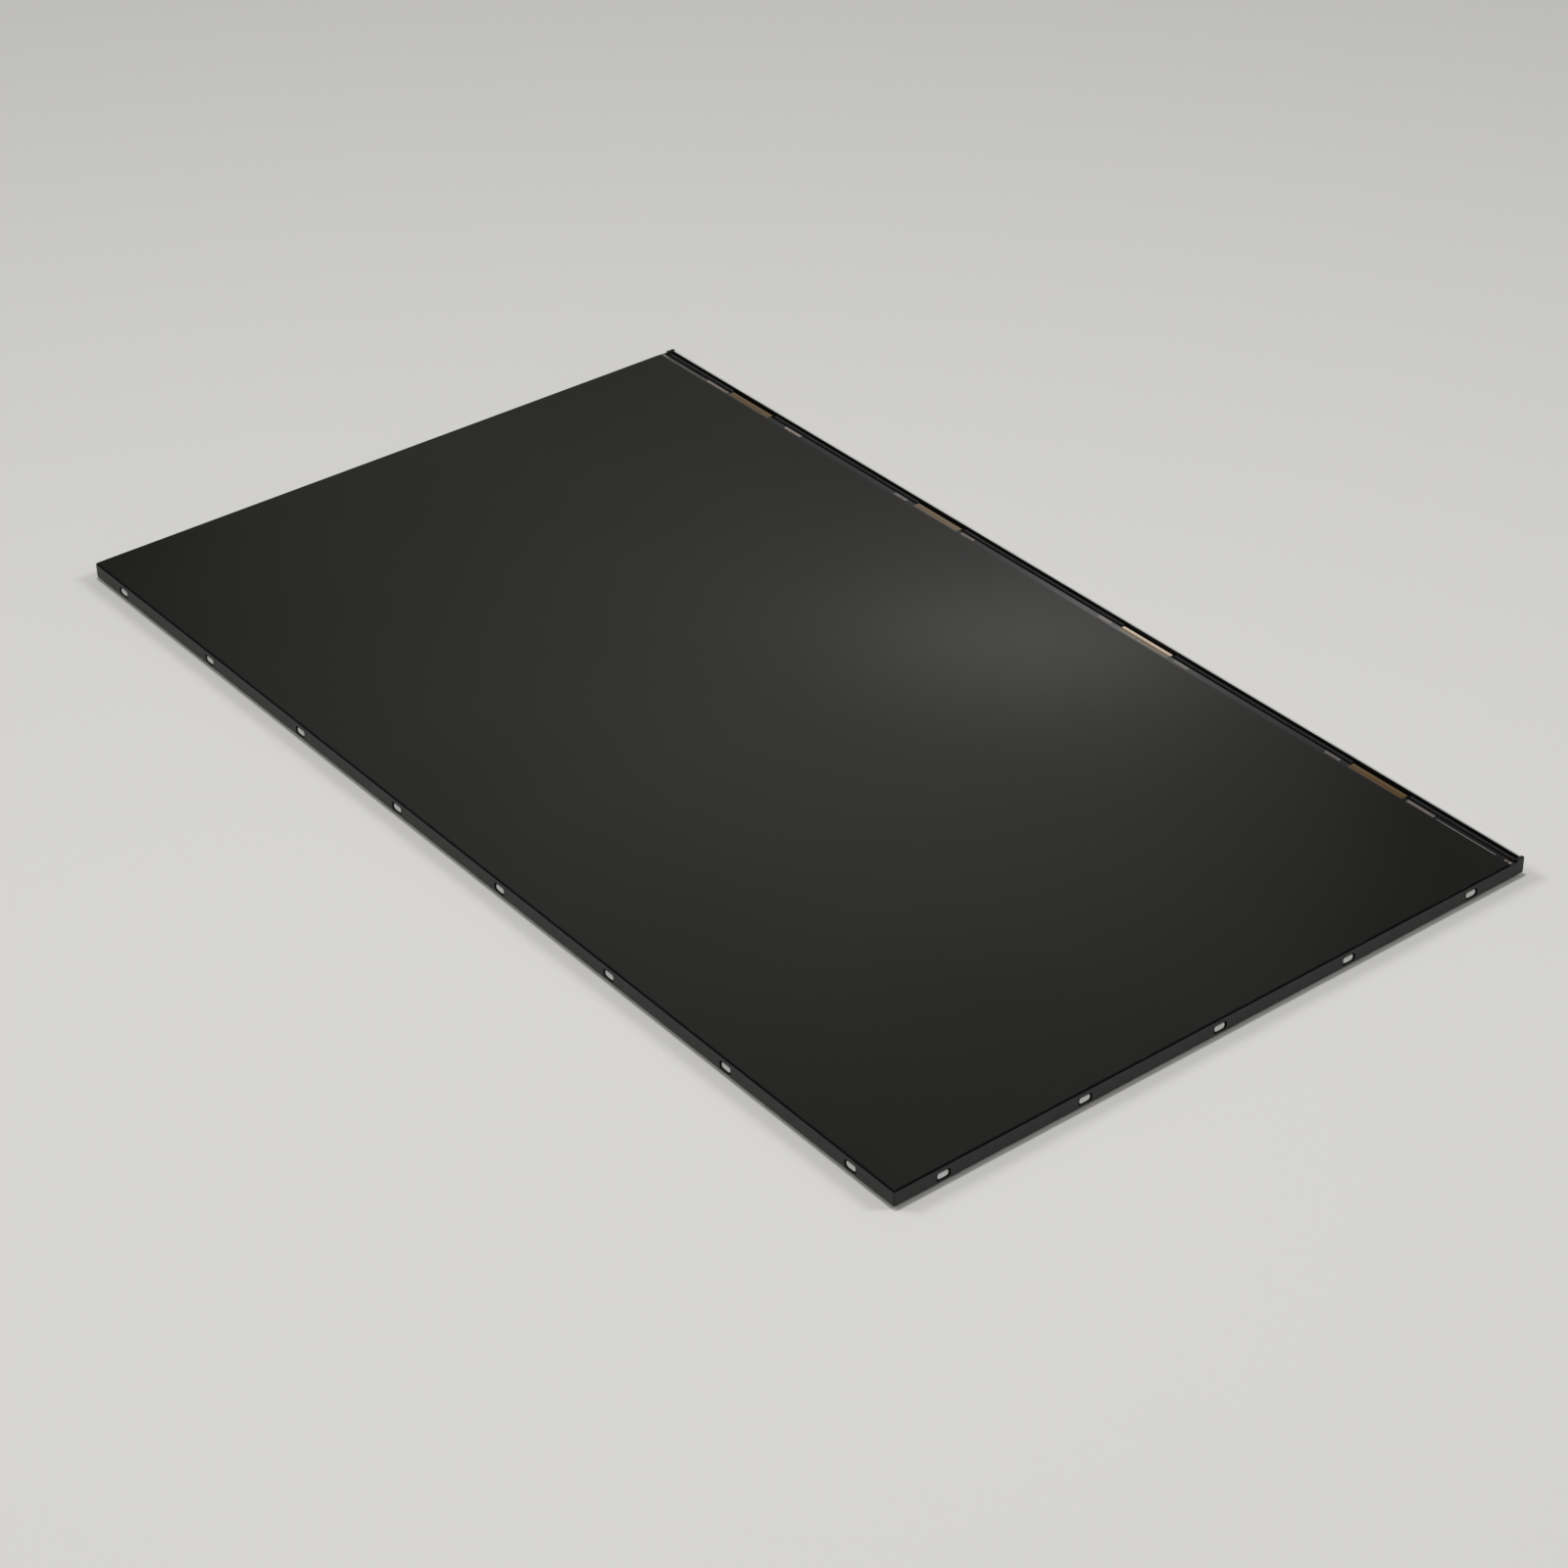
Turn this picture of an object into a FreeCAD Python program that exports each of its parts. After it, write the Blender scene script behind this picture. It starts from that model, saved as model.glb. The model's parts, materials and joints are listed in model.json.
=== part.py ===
import FreeCAD, Part
import os
import re
import Sketcher

# Liquid-crystal display module, lying on its back.
# +X runs along the long side, +Y points to the driver edge, +Z out of the screen.
# The origin is the centre of the plane that the module rests on.

# Driving dimensions, in millimetres, and plain counts
SIZES = {
    # Outline
    "module_width": 532.4,
    "module_height": 308.0,
    "frame_lift": 1.6,
    # Layers from the tray up to the screen's face
    "steel_thickness": 0.5,
    "reflector_thickness": 0.2,
    "light_guide_thickness": 2.0,
    "lower_diffuser_thickness": 0.2,
    "prism_thickness": 0.15,
    "upper_diffuser_thickness": 0.15,
    "optical_play": 0.25,
    "shelf_thickness": 0.7,
    "panel_tape_thickness": 0.25,
    "rear_polariser_thickness": 0.2,
    "tft_thickness": 0.5,
    "filter_thickness": 0.5,
    "front_polariser_thickness": 0.2,
    # Moulded frame
    "frame_wall": 0.9,
    "lip_thickness": 0.4,
    "lip_height": 0.75,
    "shelf_reach": 2.3,
    "driver_shelf_reach": 4.0,
    "front_corner_radius": 1.0,
    "driver_corner_radius": 0.6,
    "end_post": 1.6,
    # Driver edge, from the outer face inwards
    "hem_gap": 0.2,
    "film_channel": 1.3,
    "rail_thickness": 1.35,
    "glass_gap": 1.25,
    "bond_ledge": 2.2,
    "filter_step": 1.3,
    # Glass and films against the frame
    "glass_clearance": 0.1,
    "polariser_setback": 0.25,
    "tape_inset": 0.15,
    "rear_polariser_inset": 0.2,
    # Latch slots in the frame's walls
    "front_slot_count": 8,
    "front_slot_end": 23.3,
    "side_slot_count": 5,
    "side_slot_front": 21.8,
    "side_slot_driver": 28.6,
    "slot_length": 6.4,
    "slot_depth": 3.5,
    "slot_radius": 1.1,
    # Steel tray
    "wall_clearance": 0.1,
    "tray_corner_radius": 1.0,
    "tray_wall_gap": 0.2,
    "corner_relief": 2.0,
    "latch_end_play": 0.55,
    "latch_side_play": 0.2,
    "latch_reach": 0.6,
    "latch_lead": 0.9,
    "light_guide_clearance": 0.4,
    "sheet_inset": 0.2,
    # Drawn mounting pads with threaded collars
    "mount_spacing_x": 380.0,
    "mount_spacing_y": 160.0,
    "mount_shift": -20.0,
    "pad_length": 38.0,
    "pad_width": 28.0,
    "pad_radius": 8.0,
    "pad_slope": 30.0,
    "collar_radius": 2.3,
    "collar_length": 2.0,
    "mount_hole_radius": 1.25,
    # Pressed field that stiffens the tray between the pads
    "field_gap": 21.0,
    "field_depth": 1.0,
    "field_radius": 12.0,
    "field_slope": 40.0,
    # Edge light
    "led_count": 48,
    "led_length": 5.0,
    "led_depth": 1.2,
    "led_height": 1.8,
    "led_gap": 0.2,
    "led_board_thickness": 0.8,
    "led_board_end": 7.2,
    "led_board_foot": 0.1,
    "led_board_gap": 0.25,
    "thermal_tape_thickness": 0.2,
    "tail_width": 10.0,
    "tail_shift": 130.0,
    "tail_window_play": 1.0,
    # Driver films and chips
    "film_count": 4,
    "active_border": 2.68,
    "film_shift": -3.0,
    "film_width": 29.0,
    "film_thickness": 0.1,
    "film_bend": 1.0,
    "film_reach": 2.2,
    "film_start": 0.3,
    "film_bond": 2.0,
    "notch_play": 1.0,
    "chip_length": 20.0,
    "chip_width": 1.4,
    "chip_thickness": 0.3,
    # Source board and its parts
    "board_end": 7.86,
    "board_thickness": 0.8,
    "board_tape_thickness": 0.1,
    "board_tape_width": 9.0,
    "board_setback": 2.1,
    "controller_size": 12.0,
    "controller_thickness": 0.85,
    "controller_shift": -40.0,
    "power_chip_size": 7.0,
    "power_chip_thickness": 0.75,
    "power_chip_shift": 40.0,
    "coil_count": 3,
    "coil_pitch": 9.0,
    "coil_size": 5.0,
    "coil_thickness": 0.8,
    "coil_shift": 60.0,
    "capacitor_count": 28,
    "capacitor_end": 58.0,
    "capacitor_length": 2.0,
    "capacitor_width": 1.2,
    "capacitor_thickness": 0.6,
    "part_inset": 1.0,
    "part_gap": 0.1,
    "row_gap": 0.2,
    "bond_gap": 0.6,
    # Sockets on the source board
    "socket_depth": 4.4,
    "socket_height": 1.3,
    "socket_lift": 0.3,
    "socket_wall": 0.3,
    "mouth_depth": 3.0,
    "signal_pins": 30,
    "signal_pitch": 1.0,
    "signal_offset": 49.67,
    "backlight_pins": 6,
    "backlight_pitch": 1.0,
    "backlight_offset": 13.67,
    "socket_end": 3.0,
    "pin_width": 0.4,
    "pin_length": 2.4,
    "pin_thickness": 0.2,
    # Board cover
    "cover_thickness": 0.5,
    "cover_drop": 0.2,
    "cover_inner_bend": 0.4,
    "hem_length": 3.4,
    "cover_gap": 2.05,
    "flange_width": 6.0,
    "flange_ramp": 2.0,
    "cover_play": 0.1,
    "window_play": 2.0,
    "insulator_thickness": 0.1,
    "insulator_inset": 2.0,
    # Screws of the board cover
    "screw_count": 4,
    "screw_end": 14.5,
    "screw_radius": 0.95,
    "screw_play": 0.1,
    "screw_head_radius": 2.1,
    "screw_head_height": 0.5,
    # How far a cut runs past an outer face
    "cut_margin": 4.0,
}

# Levels and places that follow from the driving dimensions
PLACES = {
    # Heights above the rest plane; the sockets or the tallest chip set the room behind the tray
    "tallest_chip": "max(controller_thickness; power_chip_thickness; coil_thickness; capacitor_thickness)",
    "chip_room": "cover_thickness + insulator_thickness + part_gap + tallest_chip",
    "board_bottom": "max(socket_lift + socket_height; chip_room)",
    "board_top": "board_bottom + board_thickness",
    "floor_bottom": "board_top + board_tape_thickness",
    "floor_top": "floor_bottom + steel_thickness",
    "reflector_top": "floor_top + reflector_thickness",
    "light_guide_top": "reflector_top + light_guide_thickness",
    "lower_diffuser_top": "light_guide_top + lower_diffuser_thickness",
    "prism_top": "lower_diffuser_top + prism_thickness",
    "upper_diffuser_top": "prism_top + upper_diffuser_thickness",
    "shelf_bottom": "upper_diffuser_top + optical_play",
    "shelf_top": "shelf_bottom + shelf_thickness",
    "tft_bottom": "shelf_top + panel_tape_thickness",
    "tft_top": "tft_bottom + tft_thickness",
    "filter_top": "tft_top + filter_thickness",
    "screen_top": "filter_top + front_polariser_thickness",
    "lip_top": "shelf_top + lip_height",
    "tray_wall_top": "shelf_bottom - tray_wall_gap",
    # Half sizes and the driver edge's lines
    "half_width": "module_width / 2",
    "half_height": "module_height / 2",
    "post_inner": "half_width - end_post",
    "hem_inner": "half_height - 2 * cover_thickness - hem_gap",
    "rail_outer": "hem_inner - film_channel",
    "rail_inner": "rail_outer - rail_thickness",
    "tft_edge": "rail_inner - glass_gap",
    "filter_edge": "tft_edge - bond_ledge",
    "polariser_edge": "filter_edge - filter_step",
    "shelf_edge": "rail_inner - driver_shelf_reach",
    # Glass, sheets and tray on the three narrow sides
    "glass_setback": "lip_thickness + glass_clearance",
    "glass_x": "half_width - glass_setback",
    "glass_y": "half_height - glass_setback",
    "tray_x": "half_width - frame_wall - wall_clearance",
    "tray_y": "half_height - frame_wall - wall_clearance",
    "tray_driver_y": "rail_inner - wall_clearance",
    "guide_x": "tray_x - steel_thickness - light_guide_clearance",
    "guide_y": "tray_y - steel_thickness - light_guide_clearance",
    "led_board_back": "tray_driver_y - steel_thickness - thermal_tape_thickness",
    "led_board_front": "led_board_back - led_board_thickness",
    "guide_driver_y": "led_board_front - led_depth - led_gap",
    "led_board_bottom": "floor_top + led_board_foot",
    "led_board_top": "tray_wall_top - led_board_gap",
    "led_board_half": "half_width - led_board_end",
    "led_pitch": "2 * led_board_half / led_count",
    # Latches and their slots
    "slot_height": "floor_bottom - latch_side_play + slot_depth / 2",
    "front_slot_pitch": "(module_width - 2 * front_slot_end) / (front_slot_count - 1)",
    "side_slot_pitch": "(module_height - side_slot_front - side_slot_driver) / (side_slot_count - 1)",
    "side_slot_shift": "(side_slot_front - side_slot_driver) / 2",
    "latch_length": "slot_length - 2 * latch_end_play",
    "latch_depth": "slot_depth - 2 * latch_side_play",
    # Source board, taped under the tray; the films share the picture's length between them
    "film_pitch": "(module_width - 2 * active_border) / film_count",
    "board_half": "((film_count - 1) * film_pitch + film_width) / 2 + board_end",
    "board_outer": "rail_inner - board_setback",
    "capacitor_row": "board_outer - film_bond - bond_gap - capacitor_width / 2",
    "board_inner": "capacitor_row - capacitor_width / 2 - row_gap - controller_size - part_inset",
    "part_row": "board_inner + part_inset + controller_size / 2",
    "capacitor_pitch": "2 * (board_half - capacitor_end) / (capacitor_count - 1)",
    "film_low": "board_bottom - film_thickness",
    "film_outer": "tft_edge + film_reach",
    "film_inner": "film_outer - film_thickness",
    "inner_bend": "film_bend - film_thickness",
    # Board cover
    "cover_x": "post_inner - cover_play",
    "cover_top": "screen_top - cover_drop",
    "cover_bend": "cover_inner_bend + cover_thickness",
    "plate_start": "board_inner - cover_gap",
    "flange_end": "plate_start - flange_ramp",
    "cover_edge": "flange_end - flange_width",
    "flange_bottom": "floor_bottom - cover_thickness",
    "screw_y": "cover_edge + flange_width / 2",
    "screw_pitch": "2 * (cover_x - screw_end) / (screw_count - 1)",
    "insulator_top": "cover_thickness + insulator_thickness",
    # The sockets stand beside the two inner screws
    "signal_middle": "-screw_pitch / 2 - signal_offset",
    "backlight_middle": "screw_pitch / 2 + backlight_offset",
    "socket_bottom": "board_bottom - socket_height",
    "signal_half": "signal_pins * signal_pitch / 2 + socket_end",
    "backlight_half": "backlight_pins * backlight_pitch / 2 + socket_end",
    "cut_x": "half_width + cut_margin",
    "cut_y": "half_height + cut_margin",
}

DOC = FreeCAD.newDocument("display_module")
SHEET = DOC.addObject("Spreadsheet::Sheet", "Sizes")
PARTS = []


def fill_sheet():
    """Writes every driving dimension into its own aliased cell."""
    for row, (name, size) in enumerate(SIZES.items(), start=1):
        SHEET.set(f"A{row}", name)
        SHEET.set(f"B{row}", str(size))
        SHEET.setAlias(f"B{row}", name)
    DOC.recompute()


def formula(text):
    """Replaces each name by its cell, or by the formula of the place that it stands for."""
    def cell(match):
        word = match.group(0)
        if word in SIZES:
            return f"Sizes.{word}"
        if word in PLACES:
            return f"({formula(PLACES[word])})"
        return word
    return re.sub(r"[a-z_]+", cell, text)


def value(text):
    """The number that a formula gives now."""
    return float(SHEET.evalExpression(formula(text)))


def bind(feature, **sizes):
    """Ties properties of a feature to formulas; a double underscore stands for a dot."""
    for name, text in sizes.items():
        feature.setExpression(name.replace("__", "."), formula(text))


def new_body(label, groups=False):
    """A sub-part made of features; groups may hold several separate solids."""
    body = DOC.addObject("PartDesign::Body", label)
    body.Label = label
    body.AllowCompound = groups
    PARTS.append(body)
    return body


def new_sketch(body, name, plane="XY_Plane", offset="0"):
    """An empty sketch on one of the body's own origin planes, moved along the plane's normal."""
    sketch = body.newObject("Sketcher::SketchObject", f"{body.Name}_{name}")
    support = next(item for item in body.Origin.OriginFeatures if item.Role == plane)
    sketch.AttachmentSupport = [(support, "")]
    sketch.MapMode = "FlatFace"
    bind(sketch, AttachmentOffset__Base__z=offset)
    return sketch


def hold(sketch, kind, element, text, point=None):
    """Adds one driven dimension to an element, measured from the sketch's origin if it is a place."""
    ends = (element,) if point is None else (-1, 1, element, point)
    index = sketch.addConstraint(Sketcher.Constraint(kind, *ends, value(text)))
    sketch.setExpression(f"Constraints[{index}]", formula(text))


def draw_outline(sketch, corners):
    """A closed outline; each corner is (x, y), or (x, y, radius) where it is rounded."""
    points = [FreeCAD.Vector(value(corner[0]), value(corner[1]), 0) for corner in corners]
    ends = points[1:] + points[:1]
    lines = sketch.addGeometry([Part.LineSegment(a, b) for a, b in zip(points, ends)], False)
    for line, following in zip(lines, lines[1:] + lines[:1]):
        sketch.addConstraint(Sketcher.Constraint("Coincident", line, 2, following, 1))
    for line, corner in zip(lines, corners):
        hold(sketch, "DistanceX", line, corner[0], point=1)
        hold(sketch, "DistanceY", line, corner[1], point=1)
    for line, corner in zip(lines, corners):
        if len(corner) == 3:
            arc = sketch.GeometryCount
            sketch.fillet(line, 1, value(corner[2]), True, True)
            hold(sketch, "Radius", arc, corner[2])


def draw_box(sketch, left, right, low, high, radius=None):
    """A rectangle between four lines, with all its corners rounded where a radius is given."""
    corners = [(left, low), (right, low), (right, high), (left, high)]
    if radius:
        corners = [(x, y, radius) for x, y in corners]
    draw_outline(sketch, corners)


def draw_around(sketch, x, y, length, width, radius=None):
    """A rectangle about a centre."""
    draw_box(sketch, f"{x} - {length} / 2", f"{x} + {length} / 2",
             f"{y} - {width} / 2", f"{y} + {width} / 2", radius)


def draw_circle(sketch, x, y, radius):
    """A circle about a centre."""
    centre = FreeCAD.Vector(value(x), value(y), 0)
    circle = sketch.addGeometry(Part.Circle(centre, FreeCAD.Vector(0, 0, 1), value(radius)), False)
    hold(sketch, "DistanceX", circle, x, point=3)
    hold(sketch, "DistanceY", circle, y, point=3)
    hold(sketch, "Radius", circle, radius)


def pad(sketch, length, down=False, both_ways=False, slope=None):
    """Adds material along the sketch's normal, or against it."""
    body = sketch.getParentGeoFeatureGroup()
    feature = body.newObject("PartDesign::Pad", f"{sketch.Name}_pad")
    feature.Profile = sketch
    feature.Reversed = down
    feature.Midplane = both_ways
    bind(feature, Length=length)
    if slope:
        bind(feature, TaperAngle=slope)
    body.Tip = feature
    return feature


def pocket(sketch, depth=None, up=False, both_ways=False, slope=None):
    """Cuts against the sketch's normal, or along it; with no depth it cuts right through."""
    body = sketch.getParentGeoFeatureGroup()
    feature = body.newObject("PartDesign::Pocket", f"{sketch.Name}_pocket")
    feature.Profile = sketch
    feature.Reversed = up
    feature.Midplane = both_ways
    if depth is None:
        feature.Type = "ThroughAll"
    else:
        bind(feature, Length=depth)
    if slope:
        bind(feature, TaperAngle=slope)
    body.Tip = feature
    return feature


def repeat(feature, count, pitch, axis="H_Axis"):
    """Copies a feature along an axis of its own sketch."""
    sketch = feature.Profile[0]
    body = sketch.getParentGeoFeatureGroup()
    pattern = body.newObject("PartDesign::LinearPattern", f"{feature.Name}_row")
    pattern.Originals = [feature]
    pattern.Direction = (sketch, [axis])
    bind(pattern, Length=f"({count} - 1) * {pitch}", Occurrences=count)
    body.Tip = pattern
    return pattern


def new_plate(label, left, right, near, far, low, high):
    """A plain rectangular plate between six planes."""
    plate = DOC.addObject("Part::Box", label)
    plate.Label = label
    bind(plate, Length=f"({right}) - ({left})", Width=f"({far}) - ({near})", Height=f"({high}) - ({low})",
         Placement__Base__x=left, Placement__Base__y=near, Placement__Base__z=low)
    PARTS.append(plate)
    return plate


def row_start(count, pitch, shift="0"):
    """Where the first of a centred row of copies stands."""
    return f"{shift} - ({count} - 1) * {pitch} / 2"


def make_bottom_cover():
    """Folded steel tray: floor, four walls with latches, drawn mounting pads and a stiffening field."""
    body = new_body("bottom_cover")
    floor = new_sketch(body, "floor", offset="floor_bottom")
    draw_box(floor, "-tray_x", "tray_x", "-tray_y", "tray_driver_y", "tray_corner_radius")
    pad(floor, "steel_thickness")

    walls = new_sketch(body, "walls", offset="floor_bottom")
    draw_box(walls, "-tray_x", "tray_x", "-tray_y", "tray_driver_y", "tray_corner_radius")
    draw_box(walls, "-tray_x + steel_thickness", "tray_x - steel_thickness",
             "-tray_y + steel_thickness", "tray_driver_y - steel_thickness")
    pad(walls, "tray_wall_top - floor_bottom")

    # The walls are folded up one by one, so the corners are open
    reliefs = new_sketch(body, "reliefs", offset="tray_wall_top")
    for x in ("-tray_x", "tray_x"):
        for y in ("-tray_y", "tray_driver_y"):
            draw_around(reliefs, x, y, "(2 * corner_relief)", "(2 * corner_relief)")
    pocket(reliefs, "tray_wall_top - floor_top")

    make_tray_latches(body)
    make_mounting_pads(body)
    make_pressed_field(body)

    holes = new_sketch(body, "screw_holes", offset="floor_top")
    draw_circle(holes, row_start("screw_count", "screw_pitch"), "screw_y", "screw_radius + screw_play")
    repeat(pocket(holes), "screw_count", "screw_pitch")

    # The edge light's lead leaves through the floor
    window = new_sketch(body, "tail_window", offset="floor_top")
    draw_box(window, "tail_shift - tail_width / 2 - tail_window_play",
             "tail_shift + tail_width / 2 + tail_window_play",
             "led_board_front - tail_window_play", "led_board_back")
    pocket(window, "steel_thickness")


def make_tray_latches(body):
    """Latches on the tray's walls, one in each slot, with a lead-in at the top and a flat catch below."""
    low = "slot_height - latch_depth / 2"
    high = "slot_height + latch_depth / 2"
    shoulder = f"{high} - latch_lead"
    front = new_sketch(body, "front_latch", plane="YZ_Plane",
                       offset=row_start("front_slot_count", "front_slot_pitch"))
    draw_outline(front, [("-tray_y", low), ("-tray_y", high), ("-tray_y - latch_reach", shoulder),
                         ("-tray_y - latch_reach", low)])
    repeat(pad(front, "latch_length", both_ways=True), "front_slot_count", "front_slot_pitch", axis="N_Axis")

    # The XZ plane's normal points to -Y
    first = row_start("side_slot_count", "side_slot_pitch", "-side_slot_shift")
    side = new_sketch(body, "side_latch", plane="XZ_Plane", offset=first)
    for sign in ("-", ""):
        face = f"{sign}tray_x"
        reach = f"{sign}(tray_x + latch_reach)"
        draw_outline(side, [(face, low), (face, high), (reach, shoulder), (reach, low)])
    repeat(pad(side, "latch_length", both_ways=True), "side_slot_count", "side_slot_pitch", axis="N_Axis")


def mount_places():
    """The four corners of the mounting rectangle."""
    return [(f"{x}mount_spacing_x / 2", f"mount_shift {y} mount_spacing_y / 2")
            for x in ("-", "") for y in ("-", "+")]


def make_mounting_pads(body):
    """Four pads drawn out to the rest plane, each with a threaded collar inside."""
    outside = new_sketch(body, "pad_outside", offset="floor_bottom")
    inside = new_sketch(body, "pad_inside", offset="floor_top")
    collars = new_sketch(body, "collars")
    holes = new_sketch(body, "mount_holes", offset="floor_top")
    for x, y in mount_places():
        draw_around(outside, x, y, "pad_length", "pad_width", "pad_radius")
        draw_around(inside, x, y, "(pad_length - 2 * steel_thickness)",
                    "(pad_width - 2 * steel_thickness)", "pad_radius - steel_thickness")
        draw_circle(collars, x, y, "collar_radius")
        draw_circle(holes, x, y, "mount_hole_radius")
    pad(outside, "floor_bottom", down=True, slope="-pad_slope")
    pocket(inside, "floor_top - steel_thickness", slope="-pad_slope")
    pad(collars, "collar_length")
    pocket(holes)


def make_pressed_field(body):
    """Large field pressed out of the floor between the pads to stiffen it."""
    length = "(mount_spacing_x - pad_length - 2 * field_gap)"
    width = "(mount_spacing_y + pad_width)"
    outside = new_sketch(body, "field_outside", offset="floor_bottom")
    draw_around(outside, "0", "mount_shift", length, width, "field_radius")
    pad(outside, "field_depth", down=True, slope="-field_slope")
    inside = new_sketch(body, "field_inside", offset="floor_top")
    draw_around(inside, "0", "mount_shift", f"({length} - 2 * steel_thickness)",
                f"({width} - 2 * steel_thickness)", "field_radius - steel_thickness")
    pocket(inside, "field_depth", slope="-field_slope")


def make_guide_panel():
    """Moulded frame: slotted walls, a shelf for the glass, a notched rail and two corner nibs."""
    body = new_body("guide_panel")
    block = new_sketch(body, "block", offset="frame_lift")
    draw_outline(block, [("-half_width", "-half_height", "front_corner_radius"),
                         ("half_width", "-half_height", "front_corner_radius"),
                         ("half_width", "half_height", "driver_corner_radius"),
                         ("-half_width", "half_height", "driver_corner_radius")])
    pad(block, "screen_top - frame_lift")

    opening = new_sketch(body, "opening", offset="screen_top")
    draw_box(opening, "-half_width + shelf_reach", "half_width - shelf_reach",
             "-half_height + shelf_reach", "shelf_edge")
    pocket(opening)

    # Room for the steel tray below the shelf
    cavity = new_sketch(body, "cavity", offset="frame_lift")
    draw_box(cavity, "-half_width + frame_wall", "half_width - frame_wall",
             "-half_height + frame_wall", "rail_inner")
    pocket(cavity, "shelf_bottom - frame_lift", up=True)

    # Seat of the glass above the shelf
    seat = new_sketch(body, "seat", offset="screen_top")
    draw_box(seat, "-half_width + lip_thickness", "half_width - lip_thickness",
             "-half_height + lip_thickness", "rail_inner")
    pocket(seat, "screen_top - shelf_top")

    # Only the two corner nibs stand higher than the lip
    trim = new_sketch(body, "trim", offset="screen_top")
    draw_outline(trim, [("-cut_x", "-cut_y"), ("cut_x", "-cut_y"), ("cut_x", "rail_inner"),
                        ("post_inner", "rail_inner"), ("post_inner", "cut_y"), ("-post_inner", "cut_y"),
                        ("-post_inner", "rail_inner"), ("-cut_x", "rail_inner")])
    pocket(trim, "screen_top - lip_top")

    channel = new_sketch(body, "channel", offset="screen_top")
    draw_box(channel, "-post_inner", "post_inner", "rail_outer", "cut_y")
    pocket(channel)

    # The films fold down through notches in the rail
    first_film = row_start("film_count", "film_pitch", "film_shift")
    notch = new_sketch(body, "film_notch", offset="screen_top")
    draw_box(notch, f"{first_film} - film_width / 2 - notch_play",
             f"{first_film} + film_width / 2 + notch_play", "rail_inner", "cut_y")
    repeat(pocket(notch), "film_count", "film_pitch")

    front = new_sketch(body, "front_slot", plane="XZ_Plane")
    draw_around(front, row_start("front_slot_count", "front_slot_pitch"), "slot_height",
                "slot_length", "slot_depth", "slot_radius")
    repeat(pocket(front, up=True), "front_slot_count", "front_slot_pitch")

    side = new_sketch(body, "side_slot", plane="YZ_Plane")
    draw_around(side, row_start("side_slot_count", "side_slot_pitch", "side_slot_shift"), "slot_height",
                "slot_length", "slot_depth", "slot_radius")
    repeat(pocket(side, both_ways=True), "side_slot_count", "side_slot_pitch")


def make_backlight():
    """Reflector, light guide and the three optical sheets over it."""
    new_plate("reflector_sheet", "-guide_x", "guide_x", "-guide_y", "led_board_front - led_gap",
              "floor_top", "reflector_top")
    new_plate("light_guide_plate", "-guide_x", "guide_x", "-guide_y", "guide_driver_y",
              "reflector_top", "light_guide_top")
    layers = [("lower_diffuser", "light_guide_top", "lower_diffuser_top"),
              ("prism_sheet", "lower_diffuser_top", "prism_top"),
              ("upper_diffuser", "prism_top", "upper_diffuser_top")]
    for label, low, high in layers:
        new_plate(label, "-guide_x + sheet_inset", "guide_x - sheet_inset",
                  "-guide_y + sheet_inset", "guide_driver_y - sheet_inset", low, high)


def make_edge_light():
    """Light strip on the tray's driver wall, its adhesive and its flexible lead."""
    new_plate("led_board", "-led_board_half", "led_board_half", "led_board_front", "led_board_back",
              "led_board_bottom", "led_board_top")
    new_plate("thermal_tape", "-led_board_half", "led_board_half", "led_board_back",
              "led_board_back + thermal_tape_thickness", "led_board_bottom", "led_board_top")

    leds = new_body("leds", groups=True)
    first = row_start("led_count", "led_pitch")
    face = new_sketch(leds, "face", offset="(reflector_top + light_guide_top - led_height) / 2")
    draw_box(face, f"{first} - led_length / 2", f"{first} + led_length / 2",
             "led_board_front - led_depth", "led_board_front")
    repeat(pad(face, "led_height"), "led_count", "led_pitch")

    tail = new_body("led_flex_tail")
    outer = "led_board_front + film_thickness"
    strip = new_sketch(tail, "strip", plane="YZ_Plane", offset="tail_shift")
    draw_outline(strip, [("led_board_front", "led_board_bottom"), (outer, "led_board_bottom"),
                         (outer, "film_low", "film_thickness"), ("board_outer - film_bond", "film_low"),
                         ("board_outer - film_bond", "board_bottom"), ("led_board_front", "board_bottom")])
    pad(strip, "tail_width", both_ways=True)


def make_panel():
    """The glass cell with its two polarisers, and the tape that holds it on the frame."""
    tape = new_body("panel_tape")
    ring = new_sketch(tape, "ring", offset="shelf_top")
    draw_box(ring, "-glass_x + tape_inset", "glass_x - tape_inset",
             "-glass_y + tape_inset", "tft_edge - tape_inset")
    draw_box(ring, "-half_width + shelf_reach + tape_inset", "half_width - shelf_reach - tape_inset",
             "-half_height + shelf_reach + tape_inset", "shelf_edge + tape_inset")
    pad(ring, "panel_tape_thickness")

    inset = "(shelf_reach + tape_inset + rear_polariser_inset)"
    new_plate("rear_polariser", f"-half_width + {inset}", f"half_width - {inset}",
              f"-half_height + {inset}", "shelf_edge + tape_inset - rear_polariser_inset",
              "tft_bottom - rear_polariser_thickness", "tft_bottom")
    new_plate("tft_glass", "-glass_x", "glass_x", "-glass_y", "tft_edge", "tft_bottom", "tft_top")
    new_plate("colour_filter_glass", "-glass_x", "glass_x", "-glass_y", "filter_edge",
              "tft_top", "filter_top")
    new_plate("front_polariser", "-glass_x + polariser_setback", "glass_x - polariser_setback",
              "-glass_y + polariser_setback", "polariser_edge", "filter_top", "screen_top")


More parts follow.
